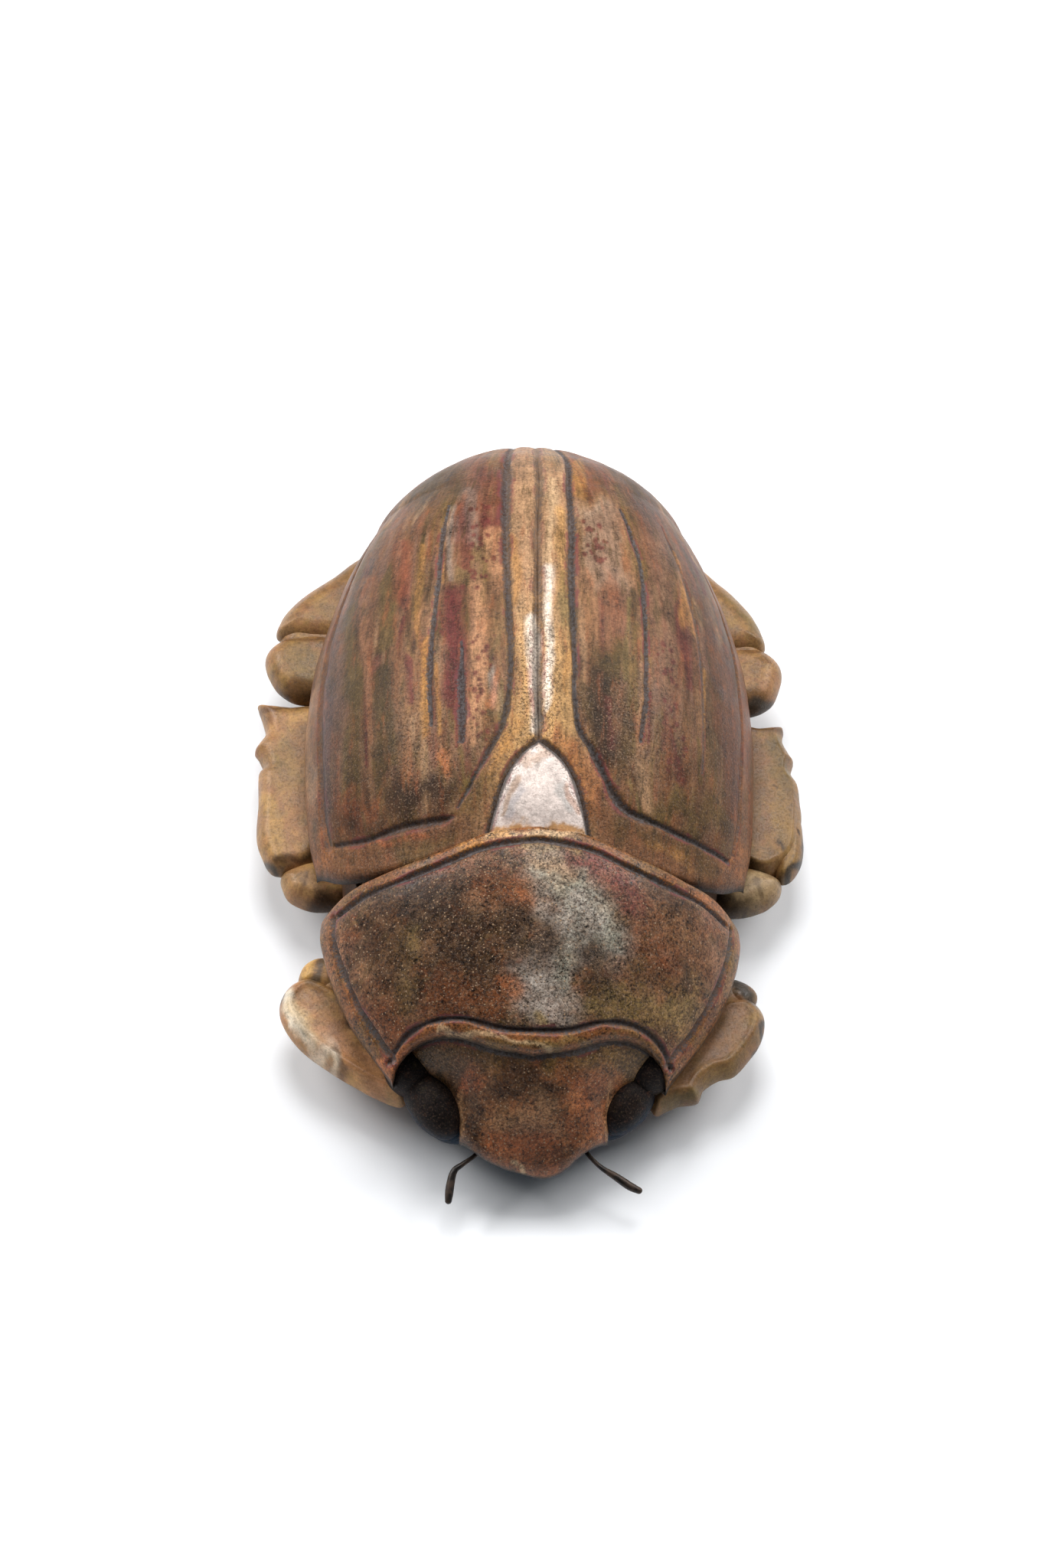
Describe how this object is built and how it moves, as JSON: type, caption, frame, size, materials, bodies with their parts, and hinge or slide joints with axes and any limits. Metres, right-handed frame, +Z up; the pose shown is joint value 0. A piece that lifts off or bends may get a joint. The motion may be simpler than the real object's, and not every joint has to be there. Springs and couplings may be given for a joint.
{
  "type": "scarab amulet",
  "caption": "Palm-sized scarab beetle figure with grooved wing cases, a rimmed thorax shield, folded legs and bent wire antennae on a flat belly.",
  "frame": {"origin": "centre of the bounding box in plan, at the height of the flat underside", "axes": "+Z up through the back; head towards -Y, tail towards +Y; the beetle's own right side is -X"},
  "size_m": [0.076, 0.1122, 0.0382],
  "materials": {
    "patinated_bronze": "cast bronze with a brown, olive and rust patina, satin, rubbed golden on the rims",
    "dark_wire": "dark brown oxidised wire"
  },
  "bodies": {
    "root": {"scarab_body": "patinated_bronze", "antenna_left": "dark_wire", "antenna_right": "dark_wire"}
  },
  "joints": []
}
